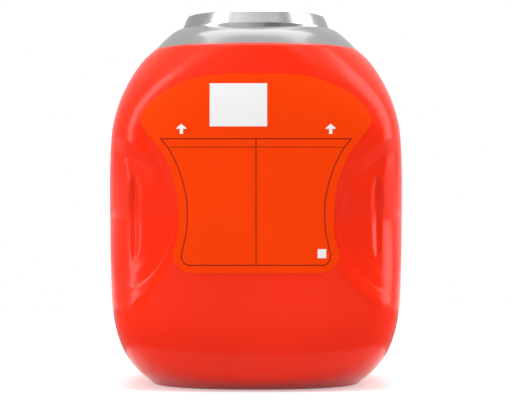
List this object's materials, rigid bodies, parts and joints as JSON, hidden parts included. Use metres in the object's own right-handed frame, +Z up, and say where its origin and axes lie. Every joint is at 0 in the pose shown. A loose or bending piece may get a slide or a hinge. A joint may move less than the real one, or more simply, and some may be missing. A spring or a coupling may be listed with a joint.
{
  "type": "laundry pod tub",
  "caption": "Rigid orange tub with pinch grips, a rounded-rectangle body, a grey collar and a silver screw lid with a release tab.",
  "frame": {"origin": "centre of the foot, on the surface that the tub stands on", "axes": "+Z up through the lid, +X across the grips, -Y out of the back label, +Y out of the front label and the release tab"},
  "size_m": [0.2094, 0.1596, 0.2646],
  "materials": {
    "tub_plastic": "glossy moulded plastic, red orange",
    "collar_plastic": "glossy moulded plastic, light grey",
    "tab_plastic": "glossy moulded plastic, light grey",
    "lid_plastic": "silver metallic plastic",
    "liner_plastic": "natural polyethylene",
    "lid_film": "plain printed film",
    "label_film": null
  },
  "bodies": {
    "tub": {"tub_body": "tub_plastic", "collar": "collar_plastic", "back_label": "label_film", "front_label": "label_film"},
    "liner": {"lid_liner": "liner_plastic"},
    "lid": {"lid": "lid_plastic", "lid_label": "lid_film"},
    "tab": {"push_tab": "tab_plastic"}
  },
  "joints": [
    {"name": "lid_lift", "type": "slide", "parent": "tub", "child": "liner", "axis": [0, 0, 1], "range_m": [0, 0.02702]},
    {"name": "lid_turn", "type": "hinge", "parent": "liner", "child": "lid", "pos_m": [0, 0, 0.2646], "axis": [0, 0, 1], "range_deg": [0, 540]},
    {"name": "tab_press", "type": "slide", "parent": "tub", "child": "tab", "axis": [0, -1, 0], "range_m": [0, 0.002], "stiffness_N_per_m": 500}
  ],
  "couplings": [
    {"joint": "lid_lift", "follows": "lid_turn", "m_per_rad": 0.0028648}
  ]
}
